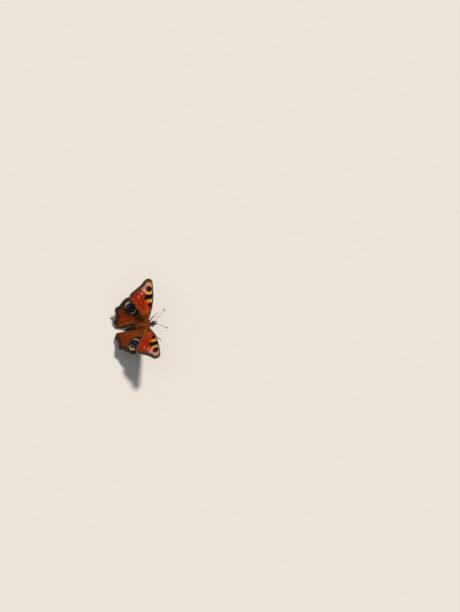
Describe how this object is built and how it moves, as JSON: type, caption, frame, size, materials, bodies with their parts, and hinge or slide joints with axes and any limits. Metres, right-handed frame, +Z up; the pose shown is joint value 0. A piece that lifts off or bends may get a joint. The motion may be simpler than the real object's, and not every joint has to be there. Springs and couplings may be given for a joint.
{
  "type": "peacock butterfly model",
  "caption": "Life-size model of a peacock butterfly standing on four legs with its wings raised in an open V, showing eyespots on rust-red wings.",
  "frame": {"origin": "on the ground under the middle of the whole animal's box", "axes": "+X towards the head, +Y towards the left wings, +Z up"},
  "size_m": [0.0366, 0.0532, 0.0297],
  "materials": {
    "forewing": "matt overlapping scales, rust red with black, yellow and blue-white marks above, dark brown beneath",
    "hindwing": "matt overlapping scales, red-brown with grey-brown margins and a blue eyespot above, dark brown beneath",
    "fur": "long golden-brown hair-scales",
    "abdomen_fur": "short dark brown hair-scales",
    "head_fur": "short brown hair-scales",
    "eye": "dark compound eye with fine facets and short hairs",
    "antenna": "dark ringed shaft with a club that has a pale tip",
    "chitin": "smooth dark brown cuticle",
    "leg": "brown scaled cuticle"
  },
  "bodies": {
    "root": {"thorax": "fur", "abdomen": "abdomen_fur", "head": "head_fur", "proboscis": "chitin", "eye_left": "eye", "antenna_left": "antenna", "palp_left": "head_fur", "forewing_left": "forewing", "hindwing_left": "hindwing", "coxa_mid_left": "leg", "femur_mid_left": "leg", "tibia_mid_left": "leg", "tarsus_mid_left": "leg", "coxa_hind_left": "leg", "femur_hind_left": "leg", "tibia_hind_left": "leg", "tarsus_hind_left": "leg", "foreleg_left": "leg", "eye_right": "eye", "antenna_right": "antenna", "palp_right": "head_fur", "forewing_right": "forewing", "hindwing_right": "hindwing", "coxa_mid_right": "leg", "femur_mid_right": "leg", "tibia_mid_right": "leg", "tarsus_mid_right": "leg", "coxa_hind_right": "leg", "femur_hind_right": "leg", "tibia_hind_right": "leg", "tarsus_hind_right": "leg", "foreleg_right": "leg"}
  },
  "joints": []
}
